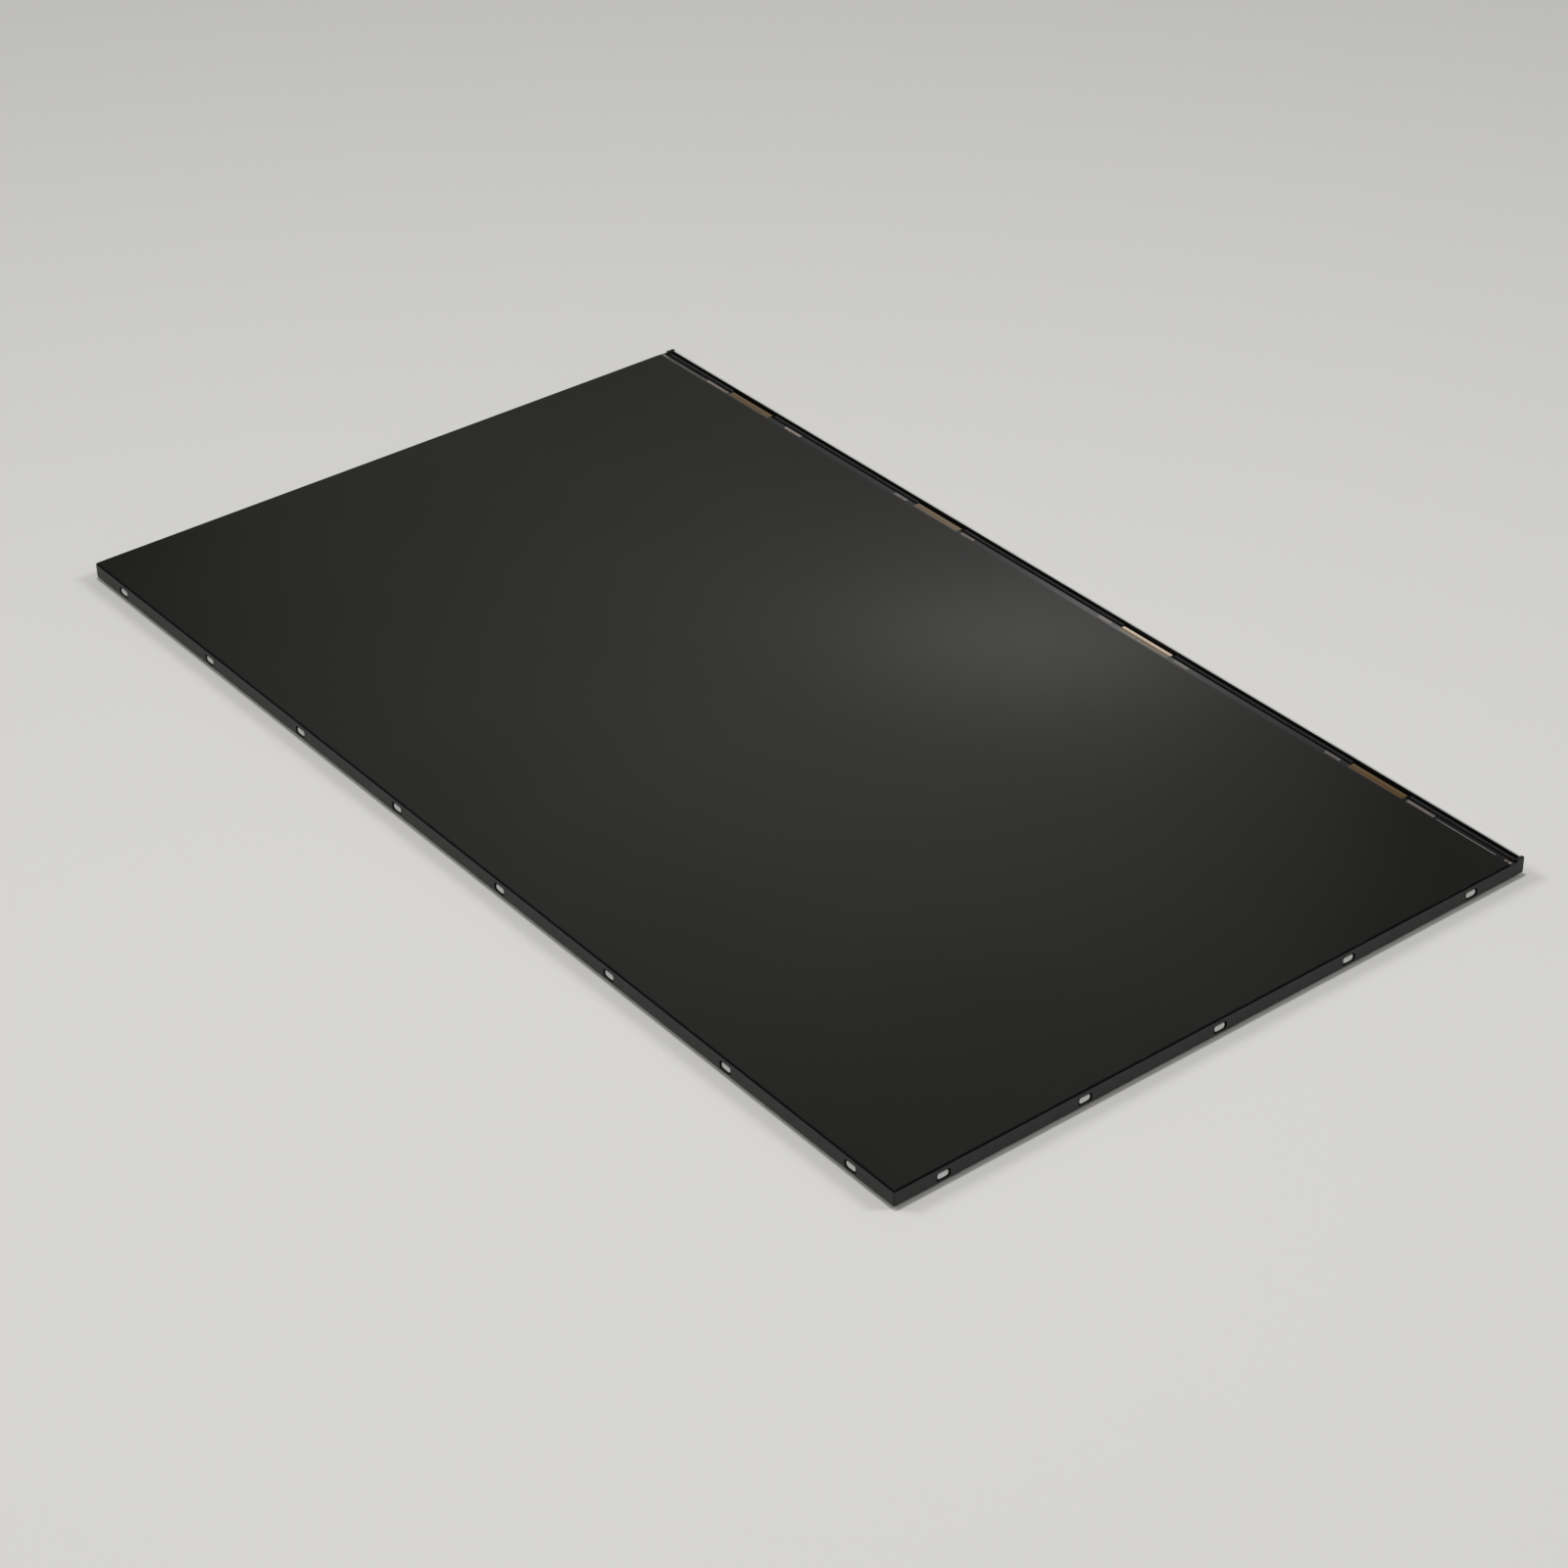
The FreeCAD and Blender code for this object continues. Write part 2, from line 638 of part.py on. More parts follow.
def make_source_films():
    """Flexible films from the glass ledge round to the source board, each with its driver chip."""
    for index in range(SIZES["film_count"]):
        place = f"film_shift + ({index} - (film_count - 1) / 2) * film_pitch"
        film = new_body(f"source_film_{index + 1}")
        strip = new_sketch(film, "strip", plane="YZ_Plane", offset=place)
        draw_outline(strip, [("filter_edge + film_start", "tft_top"),
                             ("film_inner", "tft_top", "inner_bend"),
                             ("film_inner", "board_bottom", "inner_bend"),
                             ("board_outer - film_bond", "board_bottom"),
                             ("board_outer - film_bond", "film_low"),
                             ("film_outer", "film_low", "film_bend"),
                             ("film_outer", "tft_top + film_thickness", "film_bend"),
                             ("filter_edge + film_start", "tft_top + film_thickness")])
        pad(strip, "film_width", both_ways=True)
        new_plate(f"driver_chip_{index + 1}", f"{place} - chip_length / 2", f"{place} + chip_length / 2",
                  "film_outer - film_bend - chip_width", "film_outer - film_bend",
                  "film_low - chip_thickness", "film_low")


def make_source_board():
    """Circuit board taped under the tray, with the chips and coils on its outer face."""
    left = "film_shift - board_half"
    right = "film_shift + board_half"
    new_plate("source_board", left, right, "board_inner", "board_outer", "board_bottom", "board_top")
    middle = "(board_inner + board_outer) / 2"
    new_plate("board_tape", left, right, f"{middle} - board_tape_width / 2",
              f"{middle} + board_tape_width / 2", "board_top", "floor_bottom")
    chips = [("timing_controller", "controller_shift", "controller_size", "controller_thickness"),
             ("power_chip", "power_chip_shift", "power_chip_size", "power_chip_thickness")]
    for label, shift, size, thickness in chips:
        new_plate(label, f"film_shift + {shift} - {size} / 2", f"film_shift + {shift} + {size} / 2",
                  f"part_row - {size} / 2", f"part_row + {size} / 2",
                  f"board_bottom - {thickness}", "board_bottom")

    coils = new_body("power_coils", groups=True)
    coil = new_sketch(coils, "coil", offset="board_bottom")
    draw_around(coil, "film_shift + coil_shift", "part_row", "coil_size", "coil_size")
    repeat(pad(coil, "coil_thickness", down=True), "coil_count", "coil_pitch")

    capacitors = new_body("board_capacitors", groups=True)
    capacitor = new_sketch(capacitors, "capacitor", offset="board_bottom")
    draw_around(capacitor, row_start("capacitor_count", "capacitor_pitch", "film_shift"), "capacitor_row",
                "capacitor_length", "capacitor_width")
    repeat(pad(capacitor, "capacitor_thickness", down=True), "capacitor_count", "capacitor_pitch")


def make_socket(kind):
    """Low socket at the board's inner edge, open to the tray's middle, with its row of contacts."""
    half = f"{kind}_half"
    middle = f"{kind}_middle"
    housing = new_body(f"{kind}_connector")
    block = new_sketch(housing, "block", offset="socket_bottom")
    draw_box(block, f"{middle} - {half}", f"{middle} + {half}", "board_inner", "board_inner + socket_depth")
    pad(block, "socket_height")
    mouth = new_sketch(housing, "mouth", plane="XZ_Plane", offset="-board_inner")
    draw_box(mouth, f"{middle} - {half} + socket_end / 2", f"{middle} + {half} - socket_end / 2",
             "socket_bottom + socket_wall", "board_bottom - socket_wall")
    pocket(mouth, "mouth_depth")

    contacts = new_body(f"{kind}_contacts", groups=True)
    pin = new_sketch(contacts, "pin", offset="board_bottom - socket_wall - pin_thickness")
    first = row_start(f"{kind}_pins", f"{kind}_pitch", middle)
    root = "board_inner + mouth_depth"
    draw_box(pin, f"{first} - pin_width / 2", f"{first} + pin_width / 2", f"{root} - pin_length", root)
    repeat(pad(pin, "pin_thickness"), f"{kind}_pins", f"{kind}_pitch")


def draw_socket_windows(sketch, low, high):
    """Openings over the two sockets."""
    for kind in ("signal", "backlight"):
        middle = f"{kind}_middle"
        draw_box(sketch, f"{middle} - {kind}_half - window_play",
                 f"{middle} + {kind}_half + window_play", low, high)


def make_board_cover():
    """Sheet cover over the board: screwed flange, ramp, rear plate and a hemmed outer wall."""
    body = new_body("board_cover")
    profile = new_sketch(body, "profile", plane="YZ_Plane")
    inner_wall = "half_height - cover_thickness"
    hem_low = "cover_top - hem_length"
    draw_outline(profile, [("cover_edge", "floor_bottom"), ("cover_edge", "flange_bottom"),
                           ("flange_end", "flange_bottom"), ("plate_start", "0"),
                           ("half_height", "0", "cover_bend"),
                           ("half_height", "cover_top", "cover_thickness"),
                           ("hem_inner", "cover_top", "cover_thickness"),
                           ("hem_inner", hem_low), ("hem_inner + cover_thickness", hem_low),
                           ("hem_inner + cover_thickness", "cover_top - cover_thickness"),
                           (inner_wall, "cover_top - cover_thickness"),
                           (inner_wall, "cover_thickness", "cover_bend - cover_thickness"),
                           ("plate_start + cover_thickness / 2", "cover_thickness"),
                           ("flange_end + cover_thickness / 2", "floor_bottom")])
    pad(profile, "2 * cover_x", both_ways=True)

    windows = new_sketch(body, "windows", offset="floor_bottom")
    draw_socket_windows(windows, "cover_edge - cut_margin", "board_inner + socket_depth + window_play")
    pocket(windows)

    holes = new_sketch(body, "screw_holes", offset="floor_bottom")
    draw_circle(holes, row_start("screw_count", "screw_pitch"), "screw_y", "screw_radius + screw_play")
    repeat(pocket(holes), "screw_count", "screw_pitch")

    insulator = new_body("insulating_sheet")
    sheet = new_sketch(insulator, "sheet", offset="cover_thickness")
    draw_box(sheet, "-cover_x + insulator_inset", "cover_x - insulator_inset",
             "plate_start + insulator_inset", "half_height - insulator_inset")
    pad(sheet, "insulator_thickness")
    openings = new_sketch(insulator, "openings", offset="insulator_top")
    draw_socket_windows(openings, "plate_start", "board_inner + socket_depth + window_play")
    pocket(openings)


def make_cover_screws():
    """Low-head screws that hold the board cover's flange to the tray."""
    body = new_body("cover_screws", groups=True)
    first = row_start("screw_count", "screw_pitch")
    profile = new_sketch(body, "profile", plane="XZ_Plane", offset="-screw_y")
    head_low = "flange_bottom - screw_head_height"
    draw_outline(profile, [(first, head_low), (f"{first} + screw_head_radius", head_low),
                           (f"{first} + screw_head_radius", "flange_bottom"),
                           (f"{first} + screw_radius", "flange_bottom"),
                           (f"{first} + screw_radius", "floor_top"), (first, "floor_top")])
    turned = body.newObject("PartDesign::Revolution", "cover_screw_turned")
    turned.Profile = profile
    turned.ReferenceAxis = (profile, ["Edge6"])
    turned.Angle = 360
    body.Tip = turned
    repeat(turned, "screw_count", "screw_pitch")


def check_and_write():
    """Stops on any failed feature or bad solid, then writes one file per sub-part."""
    DOC.recompute()
    failed = [item.Name for item in DOC.Objects if {"Invalid", "Error"} & set(item.State)]
    if failed:
        raise RuntimeError(f"failed features: {failed}")
    for part in PARTS:
        if part.Shape.isNull() or not part.Shape.isValid() or not part.Shape.Solids:
            raise RuntimeError(f"bad shape: {part.Label}")
    os.makedirs("parts", exist_ok=True)
    for part in PARTS:
        part.Shape.exportStep(os.path.join("parts", f"{part.Label}.step"))


fill_sheet()
make_bottom_cover()
make_guide_panel()
make_backlight()
make_edge_light()
make_panel()
make_source_films()
make_source_board()
make_socket("signal")
make_socket("backlight")
make_board_cover()
make_cover_screws()
check_and_write()
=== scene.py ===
import json
import math

import bmesh
import bpy
from mathutils import Matrix, Vector


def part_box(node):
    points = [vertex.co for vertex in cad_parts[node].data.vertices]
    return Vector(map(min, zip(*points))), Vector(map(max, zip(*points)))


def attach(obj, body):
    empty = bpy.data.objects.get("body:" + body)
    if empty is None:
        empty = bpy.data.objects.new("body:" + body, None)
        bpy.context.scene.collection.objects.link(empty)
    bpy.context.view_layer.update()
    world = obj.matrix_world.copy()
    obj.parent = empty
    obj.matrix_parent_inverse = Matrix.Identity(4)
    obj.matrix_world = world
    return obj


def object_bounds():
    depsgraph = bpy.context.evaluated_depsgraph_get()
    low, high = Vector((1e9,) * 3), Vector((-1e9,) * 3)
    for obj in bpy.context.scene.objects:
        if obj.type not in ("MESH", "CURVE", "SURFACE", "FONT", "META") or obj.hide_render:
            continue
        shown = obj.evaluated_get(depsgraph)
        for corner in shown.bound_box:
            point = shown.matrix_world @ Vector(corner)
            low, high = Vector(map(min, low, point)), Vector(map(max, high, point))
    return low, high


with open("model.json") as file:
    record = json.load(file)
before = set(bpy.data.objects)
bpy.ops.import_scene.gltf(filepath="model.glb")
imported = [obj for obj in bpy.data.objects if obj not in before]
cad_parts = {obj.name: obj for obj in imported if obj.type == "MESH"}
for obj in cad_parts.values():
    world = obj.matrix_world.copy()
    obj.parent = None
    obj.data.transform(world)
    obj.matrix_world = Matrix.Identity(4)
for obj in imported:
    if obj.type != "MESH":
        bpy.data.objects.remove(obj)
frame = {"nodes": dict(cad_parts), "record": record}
CAD_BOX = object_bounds()
NODES = frame["nodes"]
MM = 0.001
UP = Vector((0.0, 0.0, 1.0))

# Camera, fitted to the module's outline in the photograph
CAMERA_PLACE = Vector((1.0174, -0.7840, 0.8345))
CAMERA_AZIMUTH = 52.066
CAMERA_ELEVATION = 34.014
CAMERA_ROLL = -0.719
CAMERA_CLIP = 0.01
FOCAL_PIXELS = 3888.0
IMAGE_PIXELS = 1600.0
SENSOR_MM = 36.0

# Lamps: one overhead, and a window on each side
LAMP_PLACE = Vector((0.0, -0.12, 2.2))
LAMP_SIZE = 0.20
LAMP_WATTS = 21.2
WINDOWS_TOWARDS = [Vector((0.62, 0.79, 0.85)), Vector((-0.79, -0.62, 0.85))]
WINDOW_ANGLE = 21.0
WINDOW_STRENGTH = 0.88

# Sky: even, with a far pane, a ceiling and two dim corners, each as the spot of the screen that mirrors it,
# its strength, and its spread sideways and upwards
SKY_COLOUR = (1.0, 0.995, 0.98, 1.0)
SKY_STRENGTH = 0.20
GLOWS = [
    ((0.035, 0.119), 4.1, (0.035, 0.0065)),
    ((0.046, 0.016), 1.02, (0.094, 0.051)),
    ((0.251, 0.154), -0.74, (0.024, 0.103)),
    ((-0.362, -0.192), -0.47, (0.043, 0.092)),
]

# Floor: its tones near the camera and far away, darker far away as painted shade of the light's falloff, the
# distances beyond the module's middle between which they blend, and how far it reaches
FLOOR_FALLOFF_TONES = ((0.690, 0.683, 0.658), (0.530, 0.525, 0.500))
FLOOR_FALLOFF_BLEND = (-0.45, 1.60)
FLOOR_REACH = 30.0
FLOOR_ROUGHNESS = 0.6
FLOOR_SPECULAR = 0.1

# Rows of test pads on the glass ledge, as first x, last x and pad width
PAD_ROWS_MM = [
    (-232.0, -216.6, 0.50),
    (-174.2, -162.9, 0.74),
    (-96.7, -88.8, 0.45),
    (-52.0, -43.4, 0.45),
    (35.6, 42.9, 0.52),
    (80.9, 88.9, 0.52),
    (167.0, 175.3, 0.45),
    (211.4, 226.0, 0.45),
]
PAD_PITCH_MM = 0.75
PAD_THICKNESS_MM = 0.015
PAD_INSET_MM = 0.12

# Bare conductors from the end rows to the corners, and the alignment marks at both ends
BUS_LINES_MM = [(-262.0, -232.6), (227.0, 257.5)]
BUS_WIDTH_MM = 0.75
MARKS_MM = [(262.0, 263.0), (263.6, 265.3)]
MARK_LENGTH_MM = 1.3

# Cross recesses in the screw heads, drawn as painted shade
SCREW_COUNT = 4
CROSS_LENGTH_MM = 2.2
CROSS_WIDTH_MM = 0.5
CROSS_THICKNESS_MM = 0.02

# Latches of the steel tray along X and Y, as pitch and middle of a latch, their height, the band at the
# tray's rim that holds its walls, and the rounded part of a latch that gets a painted highlight
LATCH_ROWS_MM = {"X": (69.4, 34.7), "Y": (64.4, -3.4)}
LATCH_HEIGHT_MM = 4.05
TRAY_RIM_MM = 0.65
LATCH_HIGHLIGHT_MM = (4.8, 2.6)
LATCH_HIGHLIGHT_ROUNDNESS = 3.0

# Tones of the tray's sheet, of the painted shade on its walls and of the painted highlight on its latches
STEEL_TONES = ((0.52, 0.53, 0.54), (0.63, 0.64, 0.65))
TRAY_WALL_SHADE_TONES = ((0.010, 0.010, 0.010), (0.018, 0.018, 0.018))
LATCH_HIGHLIGHT_TONES = ((0.68, 0.68, 0.68), (0.78, 0.78, 0.78))

# Board cover: its tones, and where the painted shade inside its raised wall starts along Y, and its colour
COVER_TONES = ((0.60, 0.60, 0.60), (0.70, 0.70, 0.69))
WALL_SHADE_FROM_MM = 152.0
WALL_SHADE_COLOUR = (0.006, 0.006, 0.006, 1.0)

# Share of mirrored light on the coated sheets
SHEET_METAL = 0.5

# Screen film: its face and its cut edge
SCREEN_TONES = ((0.0142, 0.0139, 0.0130), (0.0156, 0.0153, 0.0143))
SCREEN_EDGE_TONES = ((0.003, 0.003, 0.003), (0.12, 0.12, 0.11))

# Glass: a height between the lower plate's ledge and the upper plate's step, and the tones of the ledge, the
# step and the cut edges
GLASS_STEP_MM = 7.65
LEDGE_TONES = ((0.017, 0.017, 0.018), (0.024, 0.024, 0.025))
STEP_TONES = ((0.014, 0.014, 0.014), (0.020, 0.020, 0.020))
GLASS_EDGE_TONES = ((0.002, 0.0025, 0.0025), (0.005, 0.006, 0.006))

# Driver films: their reach along Y, the zones of bond, middle and fold as shares of it, and the tones there;
# one film gets a painted highlight at its bond and its fold, where it catches the light
FILM_REACH_MM = (146.0, 151.2)
FILM_ZONES = [(0.0, 0.20), (0.34, 0.50), (0.68, 1.0)]
FILM_TONES = ((0.148, 0.105, 0.062), (0.088, 0.048, 0.015), (0.122, 0.080, 0.034))
HIGHLIGHTED_FILM = "source_film_3"
FILM_PAINTED_HIGHLIGHT_TONES = ((0.370, 0.305, 0.225), (0.095, 0.053, 0.018), (0.600, 0.485, 0.360))
TRACK_SHADES = ((0.78, 0.78, 0.78), (1.0, 1.0, 1.0))

# Source board, and the packages of the edge light
BOARD_TONES = ((0.012, 0.075, 0.035), (0.020, 0.13, 0.06))
PACKAGE_TONES = ((0.78, 0.78, 0.76), (0.86, 0.86, 0.84))
PHOSPHOR_TONES = ((0.80, 0.62, 0.10), (0.90, 0.74, 0.20))

# Plain finishes: two close tones, grains to the metre, and what differs from make_plain's own values
PLAIN_FINISHES = {
    "black_moulding": dict(tones=((0.010, 0.010, 0.0105), (0.015, 0.015, 0.0155)), grain=3500.0,
                           rough=(0.42, 0.55), specular=0.36, depth_mm=0.02, strength=0.35),
    "polariser_film": dict(tones=((0.010, 0.010, 0.012), (0.018, 0.018, 0.020)), grain=900.0,
                           rough=(0.1, 0.2)),
    "white_sheet": dict(tones=((0.78, 0.78, 0.77), (0.86, 0.86, 0.85)), grain=1500.0),
    "clear_acrylic": dict(tones=((0.70, 0.74, 0.74), (0.80, 0.83, 0.83)), grain=900.0, rough=(0.05, 0.15)),
    "light_strip": dict(tones=((0.74, 0.74, 0.71), (0.84, 0.84, 0.81)), grain=1200.0, rough=(0.3, 0.4)),
    "adhesive": dict(tones=((0.012, 0.012, 0.012), (0.022, 0.022, 0.022)), grain=2500.0, rough=(0.6, 0.75)),
    "chip_black": dict(tones=((0.012, 0.012, 0.013), (0.024, 0.024, 0.025)), grain=4000.0, rough=(0.45, 0.6)),
    "capacitor_ceramic": dict(tones=((0.34, 0.25, 0.15), (0.46, 0.35, 0.22)), grain=2400.0,
                              rough=(0.4, 0.55)),
    "socket_moulding": dict(tones=((0.60, 0.57, 0.49), (0.70, 0.67, 0.59)), grain=2500.0),
    "contact_metal": dict(tones=((0.72, 0.52, 0.20), (0.84, 0.64, 0.30)), grain=3000.0, rough=(0.2, 0.3),
                          metallic=1.0),
    "insulating_film": dict(tones=((0.016, 0.016, 0.016), (0.026, 0.026, 0.026)), grain=2500.0,
                            rough=(0.35, 0.45)),
    "screw_steel": dict(tones=((0.56, 0.56, 0.56), (0.68, 0.68, 0.67)), grain=2600.0, rough=(0.2, 0.32),
                        metallic=1.0),
    # Painted shade for the screws' cross recesses
    "screw_recess": dict(tones=((0.020, 0.020, 0.020), (0.045, 0.045, 0.043)), grain=2600.0,
                         rough=(0.5, 0.6)),
    "pad_metal": dict(tones=((0.31, 0.265, 0.235), (0.45, 0.39, 0.35)), grain=1400.0, rough=(0.30, 0.42),
                      metallic=0.5),
}

# Width of a patch of one tone or one gloss on a plain finish, in grains
TONE_GRAINS = 12.0
GLOSS_GRAINS = 3.0

# The middle part of a noise, which holds most of its values, and a narrower part for sharper tones
NOISE_MIDDLE = (0.3, 0.7)
NARROW_MIDDLE = (0.35, 0.65)

# How far a face looks along an axis, from 0 to 1, before it counts as facing that way
FACING_LIMIT = 0.5

# Sockets of a mixing node that hold colours
MIX_INPUTS = (6, 7)
MIX_OUTPUT = 2


def new_material(name):
    """A material with nothing but its shader."""
    material = bpy.data.materials.new(name)
    material.use_nodes = True
    tree = material.node_tree
    tree.nodes.clear()
    output = tree.nodes.new("ShaderNodeOutputMaterial")
    shader = tree.nodes.new("ShaderNodeBsdfPrincipled")
    tree.links.new(shader.outputs["BSDF"], output.inputs["Surface"])
    return material, tree, shader


def feed(tree, socket, value):
    """Gives a socket another node's output, or a value of its own."""
    if isinstance(value, bpy.types.NodeSocket):
        tree.links.new(value, socket)
    else:
        socket.default_value = value


def add(tree, kind, inputs=None, **settings):
    """A node with its settings and inputs."""
    node = tree.nodes.new(kind)
    for name, value in settings.items():
        setattr(node, name, value)
    for name, value in (inputs or {}).items():
        feed(tree, node.inputs[name], value)
    return node


def place(tree, stretch=(1.0, 1.0, 1.0)):
    """Object coordinates in metres, stretched along the axes."""
    coordinates = add(tree, "ShaderNodeTexCoord").outputs["Object"]
    return add(tree, "ShaderNodeMapping", {"Vector": coordinates, "Scale": stretch}).outputs["Vector"]


def noise(tree, scale, stretch=(1.0, 1.0, 1.0)):
    """Noise with about `scale` grains to the metre."""
    return add(tree, "ShaderNodeTexNoise", {"Vector": place(tree, stretch), "Scale": scale}).outputs["Fac"]


def stripes(tree, scale, distortion):
    """Fine lines side by side along X, a little uneven."""
    inputs = {"Vector": place(tree), "Scale": scale, "Distortion": distortion}
    return add(tree, "ShaderNodeTexWave", inputs).outputs["Fac"]


def ramp(tree, factor, stops):
    """Colours along a factor; stops are (position, colour)."""
    node = add(tree, "ShaderNodeValToRGB", {"Fac": factor})
    elements = node.color_ramp.elements
    while len(elements) < len(stops):
        elements.new(1.0)
    for element, (position, colour) in zip(elements, stops):
        element.position = position
        element.color = (*colour, 1.0)
    return node.outputs["Color"]


def two_tones(tree, factor, tones, span=NOISE_MIDDLE):
    """A colour that goes from the first tone to the second over a span of the factor."""
    return ramp(tree, factor, list(zip(span, tones)))


def spread(tree, factor, low, high):
    """Maps a factor's middle part to a range."""
    first, last = NOISE_MIDDLE
    inputs = {"Value": factor, "From Min": first, "From Max": last, "To Min": low, "To Max": high}
    return add(tree, "ShaderNodeMapRange", inputs).outputs["Result"]


def mix(tree, factor, first, second, blend_type="MIX"):
    """Mixes two colours."""
    node = add(tree, "ShaderNodeMix", {"Factor": factor}, data_type="RGBA", blend_type=blend_type)
    for index, colour in zip(MIX_INPUTS, (first, second)):
        feed(tree, node.inputs[index], colour)
    return node.outputs[MIX_OUTPUT]


def calculate(tree, operation, first, second=0.0):
    """The result of an operation on one or two values."""
    node = add(tree, "ShaderNodeMath", {0: first, 1: second}, operation=operation)
    return node.outputs["Value"]


def axis_value(tree, axis):
    """One object coordinate, in millimetres."""
    coordinates = add(tree, "ShaderNodeTexCoord").outputs["Object"]
    split = add(tree, "ShaderNodeSeparateXYZ", {"Vector": coordinates})
    return calculate(tree, "MULTIPLY", split.outputs[axis], 1.0 / MM)


def dot(tree, vector, axis):
    """The share of a vector along an axis."""
    node = add(tree, "ShaderNodeVectorMath", {0: vector, 1: axis}, operation="DOT_PRODUCT")
    return node.outputs["Value"]


def smooth_step(tree, value, low, high):
    """0 below a range, 1 above it, smooth between."""
    inputs = {"Value": value, "From Min": low, "From Max": high}
    return add(tree, "ShaderNodeMapRange", inputs, interpolation_type="SMOOTHSTEP").outputs["Result"]


def bump(tree, shader, height, strength, depth_mm):
    """Raises the surface by a height factor."""
    node = add(tree, "ShaderNodeBump", {"Height": height, "Strength": strength, "Distance": depth_mm * MM})
    tree.links.new(node.outputs["Normal"], shader.inputs["Normal"])


def face_axis(tree, axis):
    """How far a face looks along an axis, from -1 to 1."""
    normal = add(tree, "ShaderNodeNewGeometry").outputs["Normal"]
    return add(tree, "ShaderNodeSeparateXYZ", {"Vector": normal}).outputs[axis]


def facing_up(tree):
    """1 on faces that look up or down, 0 on cut edges."""
    return calculate(tree, "GREATER_THAN", calculate(tree, "ABSOLUTE", face_axis(tree, "Z")), FACING_LIMIT)


def facing_front(tree):
    """1 on faces that look along -Y, 0 elsewhere."""
    return calculate(tree, "LESS_THAN", face_axis(tree, "Y"), -FACING_LIMIT)


def set_finish(tree, shader, colour, roughness, metallic=0.0, specular=0.5):
    """Links the colour and the roughness, and sets what is even all over."""
    tree.links.new(colour, shader.inputs["Base Color"])
    tree.links.new(roughness, shader.inputs["Roughness"])
    shader.inputs["Metallic"].default_value = metallic
    shader.inputs["Specular IOR Level"].default_value = specular


def make_plain(name, tones, grain, rough=(0.4, 0.5), metallic=0.0, specular=0.5, depth_mm=0.01, strength=0.3):
    """A finish with two close tones, uneven gloss and a fine grain."""
    material, tree, shader = new_material(name)
    colour = two_tones(tree, noise(tree, grain / TONE_GRAINS), tones, span=NARROW_MIDDLE)
    roughness = spread(tree, noise(tree, grain / GLOSS_GRAINS), *rough)
    set_finish(tree, shader, colour, roughness, metallic, specular)
    bump(tree, shader, noise(tree, grain), strength, depth_mm)
    return material


def make_screen_film():
    """Anti-glare film: matt black with a faint haze, and a black cut edge with sparse pale specks."""
    material, tree, shader = new_material("screen_film")
    face = two_tones(tree, noise(tree, scale=9.0), SCREEN_TONES, span=NARROW_MIDDLE)
    edge = two_tones(tree, noise(tree, scale=160.0), SCREEN_EDGE_TONES, span=(0.58, 0.78))
    colour = mix(tree, facing_up(tree), edge, face)
    roughness = spread(tree, noise(tree, scale=2500.0), low=0.09, high=0.11)
    set_finish(tree, shader, colour, roughness, specular=0.075)
    return material


def tray_walls(tree):
    """1 on the tray's three outer walls with their latches, where shade is painted, 0 inside them."""
    low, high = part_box("bottom_cover")
    from_middle = calculate(tree, "ABSOLUTE", axis_value(tree, "X"))
    sides = calculate(tree, "GREATER_THAN", from_middle, high.x / MM - TRAY_RIM_MM)
    front = calculate(tree, "LESS_THAN", axis_value(tree, "Y"), low.y / MM + TRAY_RIM_MM)
    return calculate(tree, "MAXIMUM", sides, front)


def latch_highlight_faces(tree):
    """1 on the rounded middle of each latch, where a highlight is painted, 0 on the tray's walls round it."""
    offsets = []
    for axis, (pitch, middle) in LATCH_ROWS_MM.items():
        along = calculate(tree, "SUBTRACT", axis_value(tree, axis), middle)
        offsets.append(calculate(tree, "PINGPONG", along, pitch / 2))
    sideways = calculate(tree, "MINIMUM", *offsets)
    upwards = calculate(tree, "ABSOLUTE", calculate(tree, "SUBTRACT", axis_value(tree, "Z"), LATCH_HEIGHT_MM))
    total = 0.0
    for offset, size in zip((sideways, upwards), LATCH_HIGHLIGHT_MM):
        share = calculate(tree, "DIVIDE", offset, size / 2)
        total = calculate(tree, "ADD", calculate(tree, "POWER", share, LATCH_HIGHLIGHT_ROUNDNESS), total)
    return calculate(tree, "LESS_THAN", total, 1.0)


def make_galvanised():
    """Zinc-coated steel with a faint spangle, painted shade on its walls and a painted highlight on its
    latches.
    """
    material, tree, shader = new_material("galvanised_steel")
    cells = add(tree, "ShaderNodeTexVoronoi", {"Vector": place(tree), "Scale": 170.0}).outputs["Color"]
    spangle = add(tree, "ShaderNodeRGBToBW", {"Color": cells}).outputs["Val"]
    sheet = two_tones(tree, spangle, STEEL_TONES, span=(0.1, 0.9))
    # Painted shade on the tray's walls, and a painted highlight on the latch faces
    dark = two_tones(tree, noise(tree, scale=400.0), TRAY_WALL_SHADE_TONES)
    latch_highlight = two_tones(tree, noise(tree, scale=700.0), LATCH_HIGHLIGHT_TONES)
    wall = mix(tree, latch_highlight_faces(tree), dark, latch_highlight)
    colour = mix(tree, tray_walls(tree), sheet, wall)
    set_finish(tree, shader, colour, spread(tree, spangle, low=0.32, high=0.46), metallic=SHEET_METAL)
    bump(tree, shader, noise(tree, scale=900.0, stretch=(0.15, 1.0, 1.0)), strength=0.15, depth_mm=0.02)
    return material


